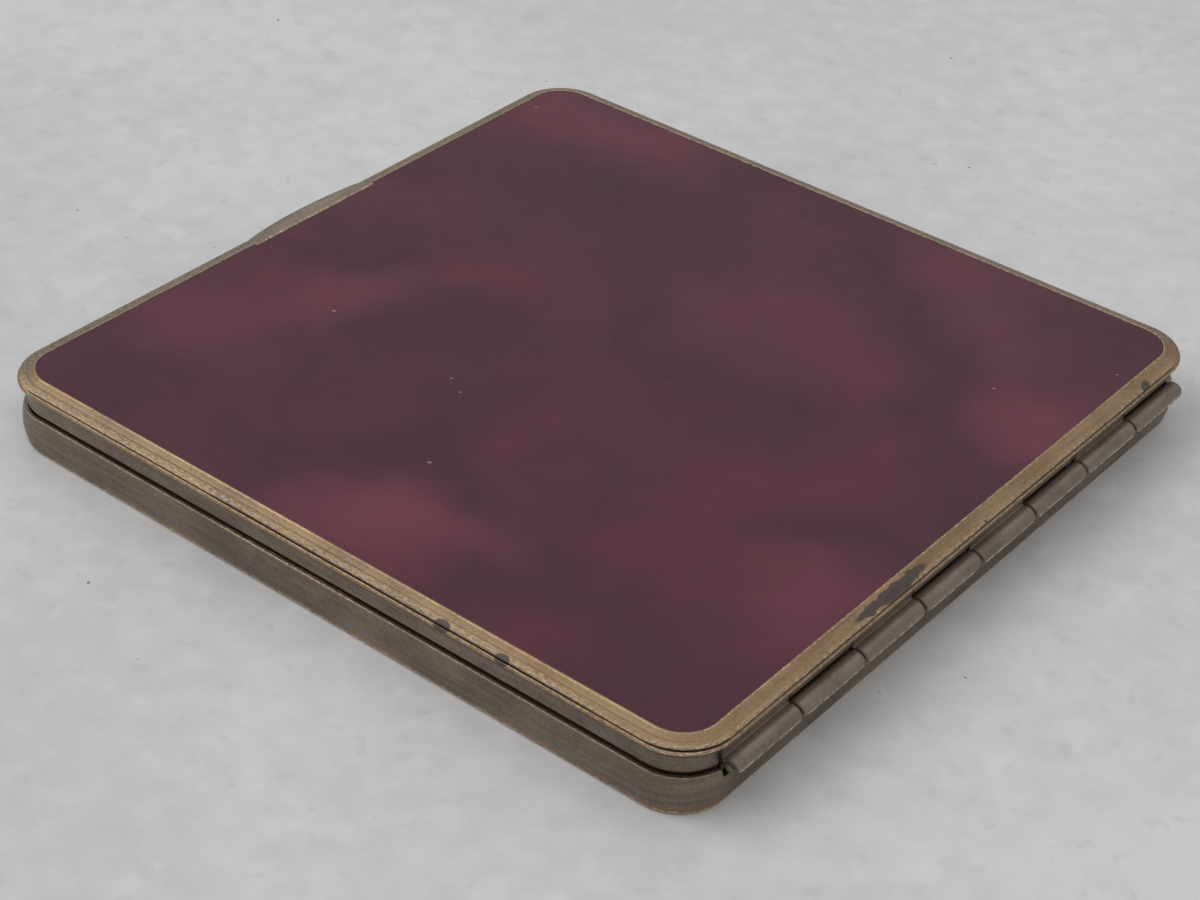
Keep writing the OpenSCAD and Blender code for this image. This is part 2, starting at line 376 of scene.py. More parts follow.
class Look:
    """A procedural material, with short ways to wire its nodes."""

    def __init__(self, name, **sockets):
        self.material = bpy.data.materials.new(name)
        self.material.use_nodes = True
        self.tree = self.material.node_tree
        self.shader = self.tree.nodes["Principled BSDF"]
        for socket, value in sockets.items():
            self.set(socket.replace("_", " "), value)

    def set(self, socket, value):
        self.feed(self.shader.inputs[socket], value)

    def feed(self, socket, value):
        if isinstance(value, bpy.types.NodeSocket):
            self.tree.links.new(value, socket)
        else:
            socket.default_value = value

    def node(self, kind, settings=(), inputs=(), output=0):
        made = self.tree.nodes.new("ShaderNode" + kind)
        for key, value in dict(settings).items():
            setattr(made, key, value)
        for key, value in dict(inputs).items():
            self.feed(made.inputs[key], value)
        return made.outputs[output]

    def place(self):
        """The piece's own coordinates, in millimetres."""
        own = self.node("TexCoord", output="Object")
        return self.node("VectorMath", {"operation": "SCALE"}, {0: own, "Scale": 1 / MM})

    def along(self):
        """Millimetres round the case, and across its section."""
        return self.node("UVMap", {"uv_map": "along"})

    def painted(self, name):
        return self.node("Attribute", {"attribute_name": name}, output="Fac")

    def stretch(self, vector, x, y, z=1.0):
        return self.node("VectorMath", {"operation": "MULTIPLY"}, {0: vector, 1: (x, y, z)})

    def noise(self, vector, scale, detail=3.0, distortion=0.0):
        inputs = {"Vector": vector, "Scale": scale, "Detail": detail, "Distortion": distortion}
        return self.node("TexNoise", {}, inputs, "Fac")

    def ramp(self, value, start, end, to_start=0.0, to_end=1.0):
        inputs = {"Value": value, "From Min": start, "From Max": end, "To Min": to_start, "To Max": to_end}
        return self.node("MapRange", {"interpolation_type": "SMOOTHSTEP"}, inputs)

    def maths(self, operation, a, b=0.0):
        return self.node("Math", {"operation": operation}, {0: a, 1: b})

    def mix(self, share, a, b):
        made = self.tree.nodes.new("ShaderNodeMix")
        made.data_type = "RGBA"
        self.feed(made.inputs["Factor"], share)
        self.feed(made.inputs[6], a)
        self.feed(made.inputs[7], b)
        return made.outputs[2]

    def spot(self, vector, centre, radii, soft=0.3, turn=0.0):
        """1 inside an ellipsoid with its centre and radii in millimetres, fading out at its edge."""
        moved = self.node("Mapping", {"vector_type": "TEXTURE"},
                          {"Vector": vector, "Location": centre,
                           "Rotation": (0, 0, math.radians(turn)), "Scale": radii})
        far = self.node("VectorMath", {"operation": "LENGTH"}, {0: moved}, "Value")
        return self.ramp(far, 1 + soft, 1 - soft)

    def blend_of(self, *parts):
        """Sum of (value, share) parts."""
        total = 0.0
        for value, share in parts:
            total = self.node("Math", {"operation": "MULTIPLY_ADD"}, {0: value, 1: share, 2: total})
        return total

    def shaken(self, vector, scale, reach, detail=3.0):
        """The coordinates moved about by up to reach millimetres, for ragged or cloudy outlines."""
        shift = self.node("TexNoise", {}, {"Vector": vector, "Scale": scale, "Detail": detail}, "Color")
        moved = self.node("VectorMath", {"operation": "MULTIPLY_ADD"},
                          {0: shift, 1: (2 * reach,) * 3, 2: (-reach,) * 3})
        return self.node("VectorMath", {"operation": "ADD"}, {0: vector, 1: moved})

    def bump(self, height, depth, strength=1.0):
        """Bump by a height from 0 to 1 that stands for depth millimetres."""
        inputs = {"Height": height, "Distance": depth * MM, "Strength": strength}
        self.set("Normal", self.node("Bump", {}, inputs, "Normal"))


GOLD_LIGHT = rgb(168, 141, 110)
GOLD_BROWN = rgb(140, 114, 88)
AGED_LIGHT = rgb(146, 133, 120)
AGED_DARK = rgb(118, 106, 95)
GILT_LIGHT = rgb(222, 196, 150)
GILT_DARK = rgb(188, 158, 112)
# Pale rubbed metal, also laid on as painted highlights.
RUBBED_AND_HIGHLIGHT = rgb(222, 200, 172)
TARNISH = rgb(88, 82, 80)
# Dark grimy colour, also laid on as painted shade in crimps and creases.
DIRT_AND_SHADE = rgb(44, 36, 31)
# Painted shade for where the inner pan shows in the gap under the lid.
PAINTED_GAP_SHADE = rgb(74, 62, 57)


def brass_look(name, streaky=True, spots=(), plated=(GOLD_BROWN, GOLD_LIGHT), shine=1.0, grime_and_shade=DIRT_AND_SHADE):
    """Old brass, by what is painted on it: gold plating over bare aged metal, rubbed edges and painted
    highlights, grimy lines and painted shade.

    spots are tarnished patches, each (centre, radii, softness, turn in degrees, ragged or not).
    shine is how metallic it still is."""
    look = Look(name, Metallic=1.0)
    place = look.place()
    lane = look.stretch(look.along(), 0.12, 2.4) if streaky else look.stretch(place, 0.6, 0.25, 1.2)
    streak = look.noise(lane, 1.0, 5.0)
    cloud = look.noise(place, 0.2, 5.0, 0.5)
    grit = look.noise(place, 4.0, 4.0)
    tone = look.blend_of((streak, 0.35), (cloud, 0.35), (grit, 0.3))
    bare = look.mix(look.ramp(tone, 0.36, 0.64), AGED_DARK, AGED_LIGHT)
    gold = look.mix(look.ramp(tone, 0.36, 0.64), *plated)
    edge = look.blend_of((look.painted("plating"), 1.0), (cloud, 0.5), (grit, 0.7))
    colour = look.mix(look.ramp(edge, 0.85, 1.3), bare, gold)
    fleck = look.noise(look.stretch(look.along(), 1.0, 3.5) if streaky else place, 2.2, 8.0)
    broken = look.ramp(fleck, 0.38, 0.66)
    # The rubbed share also carries painted highlights, mixed in as the pale rubbed colour.
    wear_and_highlight = look.maths("MULTIPLY", look.painted("wear_and_highlight"), broken)
    colour = look.mix(wear_and_highlight, colour, RUBBED_AND_HIGHLIGHT)
    ragged = look.shaken(place, 1.2, 0.5, 5.0)
    for centre, radii, soft, turn, rough in spots:
        mark = look.spot(ragged if rough else place, centre, radii, soft, turn)
        colour = look.mix(look.maths("MULTIPLY", mark, 0.92), colour, TARNISH)
    # The dark share carries grimy joints and also painted shade in crimps, creases and under the bead.
    dirt_and_shade = look.painted("dirt_and_shade")
    look.set("Base Color", look.mix(dirt_and_shade, colour, grime_and_shade))
    dull = look.blend_of((dirt_and_shade, 1.0), (wear_and_highlight, 0.5))
    look.set("Metallic", look.ramp(dull, 0.0, 1.0, shine, 0.0))
    look.set("Roughness", look.ramp(tone, 0.35, 0.65, 0.48, 0.38))
    look.bump(look.blend_of((streak, 0.4), (grit, 0.5)), 0.03, 0.4)
    return look.material


# ---------------------------------------------------------------- the lid

def bezel_section(column):
    low_edge = BEAD_Z + 0.05 * seam_open(column.at(NOSE))
    inner = lip_inner(column)
    return rounded([
        (inner, PANEL_Z - 0.01, 0), (inner, LIP_TOP, 0.04),
        (inner + 0.12, LIP_TOP, 0.05), (inner + 0.24, CASE_H - 0.1, 0.1),
        (GROOVE - 0.18, CASE_H - 0.21, 0), (GROOVE - 0.08, CASE_H - 0.245, 0),
        (GROOVE, CASE_H - 0.28, 0), (GROOVE + 0.08, CASE_H - 0.29, 0),
        (GROOVE + 0.18, CASE_H - 0.315, 0), (GROOVE + 0.52, CASE_H - 0.4, 0.3),
        (SEAM_X, CASE_H - 0.47, 0.03), (SEAM_X, low_edge, 0.01), (NECK_IN + 0.5, low_edge, 0),
        (NECK_IN, BEAD_Z, 0), (NECK_IN, PLATE_Z, 0),
        (PANEL_EDGE + 0.05, PLATE_Z, 0), (PANEL_EDGE + 0.05, PANEL_Z - 0.01, 0),
    ])


def lip_inner(column):
    """Where the lip round the panel ends, a little further out on the far sides."""
    return PANEL_HALF + 0.1 * far_side(column.at(NOSE))


def seam_open(p):
    """How open the crimp between bezel and bead is: along the near side and round its hinge corner."""
    side = facing(p, NEAR) * smooth(-15, -9, p.x) * (1 - 0.55 * smooth(24, 32, p.x))
    return max(side, facing(p, NEAR_CORNER))


def bezel_wear_and_glint(p):
    """Rubbed lip, a speckled shoulder on the near side, paler far sides, and a painted highlight along the
    near corner.
    """
    d = distance_out(p)
    near = facing(p, NEAR)
    lip = 1 - smooth(0.1, 0.16, abs(d - PANEL_HALF - 0.06))
    lip *= smooth(CASE_H - 0.1, CASE_H - 0.05, p.z)
    shoulder = smooth(GROOVE + 0.05, GROOVE + 0.15, d) * (1 - 0.7 * smooth(22, 32, p.x))
    # A painted highlight: a bright streak along the outer edge of the near corner, laid on as rubbed metal.
    glint = smooth(SEAM_X - 0.3, SEAM_X - 0.1, d) * facing(p, NEAR_CORNER)
    return max(lip * (0.6 - 0.5 * near), shoulder * near * 0.5, 0.4 * far_side(p), 1.4 * glint)


def bezel_dirt_and_shade(p):
    """Dark line where the bezel meets the bead, partly a grimy crimp and partly painted shade, and a faint
    one along the groove of the near side.
    """
    d = distance_out(p)
    # The seam line is a grimy crimp, darkened further as painted shade.
    seam = (1 - smooth(BEAD_Z + 0.06, BEAD_Z + 0.1, p.z)) * smooth(SEAM_X - 0.1, SEAM_X - 0.02, d)
    groove = (1 - smooth(0.02, 0.1, abs(d - GROOVE))) * facing(p, NEAR)
    return max(seam * seam_open(p), groove * (0.25 + 0.2 * grain(p, 9)))


def bezel_plating(p):
    """Gold all over, with less of it on the near side and much less on the far ones."""
    return 1 - 0.6 * far_side(p) - 0.4 * facing(p, NEAR) * (1 - smooth(15, 30, p.x))


def neck_section(column):
    """Neck and rolled bead of the lid. Behind the knuckles the neck is cut away from below."""
    raised = column.hinge()
    foot = NECK_Z + (LEAF_Z - NECK_Z) * raised
    under = BEAD_Z - 2 * BEAD_R
    opened = 0.13 * seam_open(column.at(NOSE))
    outer = rounded([
        (NECK_IN, BEAD_Z, 0), (NECK_IN, foot, 0.08), (NECK_IN + NECK_T, foot, 0.12),
        (NECK_IN + NECK_T, under, 0.2), (NOSE - BEAD_R, under, 0),
    ], closed=False)
    bead = arc((NOSE - BEAD_R, BEAD_Z - BEAD_R), BEAD_R, -80, 90, 16)
    for point in bead:
        point.y -= opened * (1 - smooth(NOSE - 0.16, NOSE - 0.08, point.x))
    return outer + bead


def wall_plating(p):
    """Gold is left on the bead and rubbed off the neck."""
    return smooth(NOSE - 0.6, NOSE - 0.3, distance_out(p)) * smooth(BEAD_Z - 0.65, BEAD_Z - 0.4, p.z)


def wall_wear_and_glint(p):
    """Rubbed along the outermost line of the bead, with a painted highlight where it turns the near corner.
    """
    nose = smooth(NOSE - 0.14, NOSE - 0.03, distance_out(p))
    nose *= 1 - smooth(0.1, 0.2, abs(p.z - BEAD_Z + 0.22))
    # At the near corner this becomes a painted highlight on the bead.
    corner = facing(p, NEAR_CORNER)
    return nose * max(0.55, corner) * (1 - 0.8 * facing(p, THUMB_SIDE))


def wall_dirt_and_shade(p):
    """Dark on the bead where the crimp is open, partly grimy and partly painted shade, and a little painted
    shade under the bead.
    """
    seam = smooth(BEAD_Z - 0.12, BEAD_Z - 0.08, p.z) * seam_open(p)
    # This is painted shade beneath the overhang of the bead.
    under = 1 - smooth(0.03, 0.15, abs(p.z - BEAD_Z + 2 * BEAD_R))
    under *= 1 - smooth(NECK_IN + 0.45, NECK_IN + 0.6, distance_out(p))
    return max(seam, 0.2 * under)


def panel_section(column):
    """The panel runs under the lip, and its face fills the bezel almost level with the lip."""
    edge = lip_inner(column) - 0.02
    ledge = PANEL_Z - 0.03
    return rounded([
        (CORNER_C + 0.6, CARD_Z, 0), (PANEL_EDGE, CARD_Z, 0.06), (PANEL_EDGE, ledge, 0.03),
        (edge, ledge, 0), (edge, PANEL_FACE, 0.02), (CORNER_C + 0.6, PANEL_FACE, 0),
    ], closed=False)


def tab_outer(y):
    """Where the outer arc of the thumb tab is, at y along the side."""
    return TAB_TIP + TAB_ARC - math.sqrt(TAB_ARC ** 2 - y ** 2)


def lip_sheet():
    """Bent crescent of sheet metal that lies on the bezel and stands out past the nose."""
    inner = -PANEL_HALF + 0.2
    across, lengthwise = 18, 64
    run = [(PANEL_HALF - 1, 0.03), (PANEL_HALF + 0.2, 0.02), (PANEL_HALF + 0.9, -0.16),
           (NOSE - 0.1, -0.38), (NOSE + 2, -1.0)]

    def top(d):
        """Height of the top face at distance d from the centre of the case."""
        for (d0, h0), (d1, h1) in zip(run, run[1:]):
            if d <= d1:
                return CASE_H + h0 + (h1 - h0) * (d - d0) / (d1 - d0)
        return CASE_H - 1.0

    sections = []
    for i in range(lengthwise + 1):
        y = LIP_HALF * math.sin(math.pi / 2 * (2 * i / lengthwise - 1))
        outer = tab_outer(y)
        tip = smooth(0, 1.2, LIP_HALF - abs(y))
        upper, under = [], []
        for k in range(across + 1):
            x = inner + (outer - inner) * k / across
            edge = smooth(0, 0.14, min(x - outer, inner - x))
            z = top(-x) - 0.07 * (1 - edge) - 0.09 * (1 - tip)
            upper.append((x, z))
            under.append((x, min(max(z - 0.17, BEAD_Z - 0.28), z - 0.03)))
        sections.append((y, upper + under[::-1]))
    return extrude_along_y("thumb_tab", sections)


def lip_wear(p):
    """Rubbed bright along the edge on the panel."""
    return 0.8 * smooth(PANEL_HALF + 0.05, PANEL_HALF - 0.12, -p.x)


def lip_dark_edge(p):
    """Dark along the outer arc."""
    return 0.8 * smooth(tab_outer(p.y) + 0.3, tab_outer(p.y) + 0.12, p.x)


def knuckle_y(i):
    return -HINGE_HALF + PITCH * (i + 0.5)


def knuckle(i, shoulder, steps=26):
    """Rolled tab of knuckle i, with rounded corners and a slightly chipped free edge.

    Angles are in degrees round the wire, from the way out. The sheet runs from the free edge at
    free over the top; shoulder says where its two faces end and how the leaf goes on from there."""
    half = PITCH / 2 - KNUCKLE_GAP / 2
    corner, sheet, free = 0.7, BARREL_R - PIN_R - 0.08, -14.0
    centre = (HINGE_X, HINGE_Z)
    sections = []
    for k in range(steps + 1):
        offset = -half * math.cos(math.pi * k / steps)
        end = max(corner - (half - abs(offset)), 0.0)
        cut = corner - math.sqrt(max(corner ** 2 - end ** 2, 0.0))
        chip = 1.6 * grain(Vector((0, knuckle_y(i) + offset, 0)), 0.7, i)
        tip = free + math.degrees(cut / BARREL_R) + chip
        inset = 0.05 * (1 - smooth(0, 0.12, half - abs(offset)))
        outer_r, inner_r = BARREL_R - inset, BARREL_R - sheet + inset
        outer = arc(centre, outer_r, shoulder["outer"], tip + 3, 22)
        blunt = arc(centre, (outer_r + inner_r) / 2, tip, tip, 1)[:1]
        inner = arc(centre, inner_r, tip + 3, shoulder["inner"], 18)
        leaf = [(x + (inset if x < HINGE_X - 0.6 else 0), z) for x, z in shoulder["leaf"]]
        sections.append((knuckle_y(i) + offset, outer + blunt + inner + leaf))
    return extrude_along_y(f"knuckle_{i}", sections)


def leaf_strip(name, half, x0, x1, z0, z1):
    """Flat strip of the leaf along Y, behind its knuckles."""
    outline = rounded([(x0, z0, 0.05), (x1, z0, 0.08), (x1, z1, 0.05), (x0, z1, 0.05)])
    ys = [half * (2 * k / 60 - 1) for k in range(61)]
    return extrude_along_y(name, [(y, outline) for y in ys])


def lid_knuckles():
    x0 = low("hinge_leaf_lid").x
    x1 = x0 + 0.35
    top = high("hinge_leaf_lid").z
    shoulder = {"outer": 114, "inner": 150,
                "leaf": [(x0, HINGE_Z + 0.35), (x0, LEAF_Z + 0.4), (x1, LEAF_Z + 0.4),
                         (x1 + 0.01, LEAF_Z - 0.02), (x1 + 0.01, LEAF_Z - 0.16),
                         (x1 + 0.03, LEAF_Z - 0.21)]}
    parts = [leaf_strip("leaf", HINGE_HALF - 0.09, x0 - 0.02, x1, LEAF_Z, top)]
    parts += [knuckle(i, shoulder) for i in range(0, KNUCKLES, 2)]
    return combine("lid_knuckles", parts, "UNION")


def base_knuckles():
    x0 = low("hinge_leaf_base").x
    x1 = x0 + 0.35
    foot = low("hinge_leaf_base").z
    shoulder = {"outer": 170, "inner": 205,
                "leaf": [(x1, HINGE_Z - 0.5), (x1, HINGE_Z - 0.9), (x0, HINGE_Z - 0.9),
                         (x0, HINGE_Z - 0.1), (x0 + 0.08, HINGE_Z)]}
    parts = [leaf_strip("leaf", CORNER_C - 0.05, x0, x1, foot, HINGE_Z - 0.7)]
    parts += [knuckle(i, shoulder) for i in range(1, KNUCKLES, 2)]
    return combine("base_knuckles", parts, "UNION")


def round_wire(p):
    """A point's distance from the axis of the wire, and its angle round it in degrees."""
    out, up = p.x - HINGE_X, p.z - HINGE_Z
    return math.hypot(up, out), math.degrees(math.atan2(up, out))


def knuckle_wear_and_highlight(p):
    """Bright along the free edge of each rolled tab: rubbed metal, with a painted highlight laid on it."""
    far, turn = round_wire(p)
    if far < BARREL_R - 0.12:
        return 0.0
    return 1.7 * (1 - smooth(-5, 5, turn)) * smooth(-60, -40, turn)


def knuckle_dirt_and_shade(p):
    """Dark in the joints between knuckles, and a little painted shade in the crease above the lid's ones.
    """
    turn = round_wire(p)[1]
    joint = abs((p.y + HINGE_HALF + PITCH / 2) % PITCH - PITCH / 2)
    # The crease term is painted shade where the leaf meets the lid's knuckles.
    crease = smooth(106, 116, turn) * (1 - smooth(LEAF_Z - 0.2, LEAF_Z - 0.12, p.z))
    return max(0.85 * (1 - smooth(0.08, 0.3, joint)), 0.15 * crease)


def lathe_x(name, profile, centre, steps=32):
    """Turns (x, radius) points round an axis along X through centre; the first and last lie on it."""
    verts, faces = [], []
    rings = profile[1:-1]
    for x, radius in rings:
        for k in range(steps):
            a = 2 * math.pi * k / steps
            verts.append((x, centre[0] + radius * math.cos(a), centre[1] + radius * math.sin(a)))
    for i in range(len(rings) - 1):
        for k in range(steps):
            q = (k + 1) % steps
            faces.append((i * steps + k, (i + 1) * steps + k, (i + 1) * steps + q, i * steps + q))
    for end, ring in ((profile[0], 0), (profile[-1], len(rings) - 1)):
        tip = len(verts)
        verts.append((end[0], centre[0], centre[1]))
        faces += [(ring * steps + k, ring * steps + (k + 1) % steps, tip) for k in range(steps)]
    return make_mesh(name, verts, faces)


def lathe_y(name, profile, centre, steps=32):
    """The same round an axis along Y: profile is (y, radius) and centre is (x, z)."""
    mesh = lathe_x(name, profile, centre, steps)
    for v in mesh.vertices:
        v.co = (v.co.y, v.co.x, v.co.z)
    mesh.flip_normals()
    return mesh


def mirror_frame_section(_column):
    inner = MIRROR_HALF + 0.05
    outer = inner + 0.22
    flange = NECK_IN - 0.02
    lip = low("mirror_frame").z
    return rounded([
        (MIRROR_HALF - 0.95, lip, 0.08), (MIRROR_HALF - 0.95, MIRROR_FACE, 0.03),
        (inner, MIRROR_FACE, 0), (inner, PLATE_UNDER, 0), (flange, PLATE_UNDER, 0),
        (flange, PLATE_UNDER - 0.22, 0.05), (outer, PLATE_UNDER - 0.22, 0.1), (outer, lip, 0.16),
    ])


def glass_section(_column):
    return rounded([
        (CORNER_C + 0.6, MIRROR_FACE, 0), (MIRROR_HALF, MIRROR_FACE, 0.15),
        (MIRROR_HALF, MIRROR_BACK, 0.05), (CORNER_C + 0.6, MIRROR_BACK, 0),
    ], closed=False)


# ---------------------------------------------------------------- the base

def base_section(column):
    """Pressed wall with its bulge and rounded foot. The rim is scooped out under the knuckles."""
    rim = RIM_Z - (RIM_Z - SCOOP_Z) * column.hinge()
    shoulder = rim - 0.08

    def wall(radius, start, end, steps):
        """Points up or down the bulging wall, from one height to another."""
        heights = [start + (end - start) * k / steps for k in range(steps + 1)]
        return [Vector((BULGE.x + math.sqrt(radius ** 2 - (z - BULGE.y) ** 2), z)) for z in heights]

    inner = wall(BULGE_R - SHEET_T, SHEET_T, shoulder, 8)
    outer = wall(BULGE_R, shoulder, FOOT_R, 22)
    lip = rounded([(inner[-1].x, shoulder, 0), (inner[-1].x + 0.02, rim, 0.08),
                   (outer[0].x - 0.02, rim, 0.1), (outer[0].x, shoulder, 0)], closed=False)[1:-1]
    foot = arc((outer[-1].x - FOOT_R, FOOT_R), FOOT_R, -8, -90, 8)
    edge = CORNER_C + 1
    return [Vector((edge, SHEET_T))] + inner + lip + outer + foot + [Vector((edge, 0))]


def base_wear_and_highlight(p):
    """Rubbed along the rim, most of all near the middle of the near side, and a painted highlight along the
    foot.
    """
    outside = smooth(NOSE - 0.9, NOSE - 0.5, distance_out(p))
    middle = facing(p, NEAR) * (1 - smooth(6, 10, abs(p.x + 4)))
    rim = smooth(RIM_Z - 0.1, RIM_Z - 0.03, p.z) * (0.35 + 0.5 * middle)
    # A painted highlight: the bright line where the rounded foot would catch the light.
    foot = smooth(0.1, 0.18, p.z) * (1 - smooth(0.34, 0.46, p.z))
    return outside * max(rim, 1.5 * foot)


def base_plating(p):
    """A little gold is left low on the wall, above the foot."""
    return (0.3 + 0.4 * facing(p, NEAR_CORNER)) * (1 - smooth(0.6, 1.5, p.z))


def liner_gap_shade(p):
    """Painted shade: dark and dull outside, where the pan shows in the gap under the lid."""
    return smooth(COLLAR_OUT - 0.12, COLLAR_OUT - 0.02, distance_out(p))


def liner_section(_column):
    edge = CORNER_C + 1
    return rounded([
        (edge, LINER_Z, 0), (COLLAR_OUT, LINER_Z, 0.3), (COLLAR_OUT, COLLAR_Z, 0.12),
        (COLLAR_IN, COLLAR_Z, 0.12), (COLLAR_IN, FLOOR_Z, 0.55), (edge, FLOOR_Z, 0),
    ], closed=False, steps=6)


def liner_mesh():
    """Inner pan, with the window that the nose of the catch reaches through."""
    gap = 0.12
    pan = sweep("liner_pan", liner_section, caps=True)
    window = block("window", (-COLLAR_OUT - 1, -CATCH_HALF - gap, CATCH_LOW - gap),
                   (-COLLAR_IN + 1, CATCH_HALF + gap, CATCH_HIGH + gap))
    return combine("liner_pan", [pan, window], "DIFFERENCE")


def divider(name, start, end, axis):
    """Strip of sheet on edge with a hemmed, rounded top, running along Y or X."""
    half = high("divider_long").x
    outline = rounded([(-half, FLOOR_Z, 0.02), (half, FLOOR_Z, 0.02), (half, DIVIDER_Z, half * 0.95),
                       (-half, DIVIDER_Z, half * 0.95)], steps=6)
    steps = 40
    sections = [(start + (end - start) * k / steps, outline) for k in range(steps + 1)]
    mesh = extrude_along_y(name, sections)
    if axis == "X":
        mesh.transform(Matrix.Rotation(math.radians(-90), 4, "Z"))
    return mesh


def spring_mesh():
    """Flat spring with the nose of the catch pressed out of it."""
    x_face = -COLLAR_IN
    lo, hi = low("catch_spring"), high("catch_spring")
    thickness, reach = 0.25, x_face - lo.x
    verts, faces = [], []
    ny, nz = 56, 16

    def push(y, z):
        side = 1 - smooth(CATCH_HALF - 0.4, CATCH_HALF - 0.02, abs(y))
        rise = 1 - ((z - (CATCH_LOW + CATCH_HIGH) / 2) / ((CATCH_HIGH - CATCH_LOW) / 2)) ** 2
        return reach * side * math.sqrt(max(rise, 0.0))

    def layer(offset, pushed):
        start = len(verts)
        for i in range(ny + 1):
            y = lo.y + (hi.y - lo.y) * i / ny
            for k in range(nz + 1):
                z = lo.z + (hi.z - lo.z) * k / nz
                verts.append((x_face + offset - (push(y, z) if pushed else 0.6 * push(y, z)), y, z))
        return start

    front, back = layer(0.0, True), layer(thickness, False)
    row = nz + 1
    for i in range(ny):
        for k in range(nz):
            a = i * row + k
            quad = (a, a + row, a + row + 1, a + 1)
            faces.append(tuple(front + v for v in quad))
            faces.append(tuple(back + v for v in reversed(quad)))
    rim = [i * row for i in range(ny + 1)] + [ny * row + k for k in range(1, nz + 1)]
    rim += [i * row + nz for i in range(ny - 1, -1, -1)] + [k for k in range(nz - 1, 0, -1)]
    for a, b in zip(rim, rim[1:] + rim[:1]):
        faces.append((front + a, front + b, back + b, back + a))
    return make_mesh("spring_strip", verts, faces)


def rivets_mesh():
    lo, hi = low("catch_rivets"), high("catch_rivets")
    head_r, head_t, shank_r = 0.5, 0.15, 0.3
    y_centre = hi.y - head_r
    z_centre = (lo.z + hi.z) / 2
    dome = [(hi.x - head_t + head_t * math.cos(a), head_r * math.sin(a))
            for a in [math.pi / 2 * k / 8 for k in range(9)]]
    tail = [(lo.x + head_t - head_t * math.cos(a), head_r * math.sin(a))
            for a in [math.pi / 2 * k / 8 for k in range(8, -1, -1)]]
    profile = dome + [(hi.x - head_t, shank_r), (lo.x + head_t, shank_r)] + tail
    parts = [lathe_x("rivet", profile, (side * y_centre, z_centre)) for side in (-1, 1)]
    work = bmesh.new()
    for part in parts:
        work.from_mesh(part)
    mesh = bpy.data.meshes.new("rivet_pair")
    work.to_mesh(mesh)
    work.free()
    mesh.shade_smooth()
    return mesh


def wire_mesh():
    """Hinge wire with its two ends lightly domed."""
    dome = 0.18
    end = [(PIN_HALF - dome + dome * math.cos(a), PIN_R * math.sin(a))
           for a in [math.pi / 2 * k / 8 for k in range(9)]]
    body = [(y, PIN_R) for y in [PIN_HALF - dome - 2 * (PIN_HALF - dome) * k / 40 for k in range(1, 40)]]
    other = [(-y, r) for y, r in end[::-1]]
    return lathe_y("hinge_wire", end + body + other, (HINGE_X, HINGE_Z))


# ---------------------------------------------------------------- looks of the metals and the panel

# Old drops and bare patches on the bezel: centre, radii, softness, turn in degrees, ragged or not
DROPS = [
    ((13.6, -37.87, 6.72), (0.8, 0.57, 0.62), 0.08, 0, False),
    ((19.65, -37.87, 6.74), (0.69, 0.56, 0.56), 0.08, 0, False),
]
PATCHES = [
    ((37.2, -11.4, 7), (0.5, 4.9, 9), 0.1, 0, True),
    ((37.6, -11.0, 7), (0.5, 1.9, 9), 0.1, 0, True),
    ((37.62, 28.6, 7), (0.42, 0.75, 9), 0.08, 20, False),
    ((37.7, 1.8, 7), (0.12, 0.2, 9), 0.3, 0, False),
]

bezel_brass = brass_look("Bezel brass", True, DROPS + PATCHES)
case_brass = brass_look("Aged brass", True, DROPS)
hinge_brass = brass_look("Hinge brass", False, shine=0.55)
# The gilt pan's dark colour is painted shade, for the gap under the lid.
gilt = brass_look("Gilt pan", True, (), (GILT_DARK, GILT_LIGHT), grime_and_shade=PAINTED_GAP_SHADE)
gilt_strip = brass_look("Gilt strip", False, (), (GILT_DARK, GILT_LIGHT))


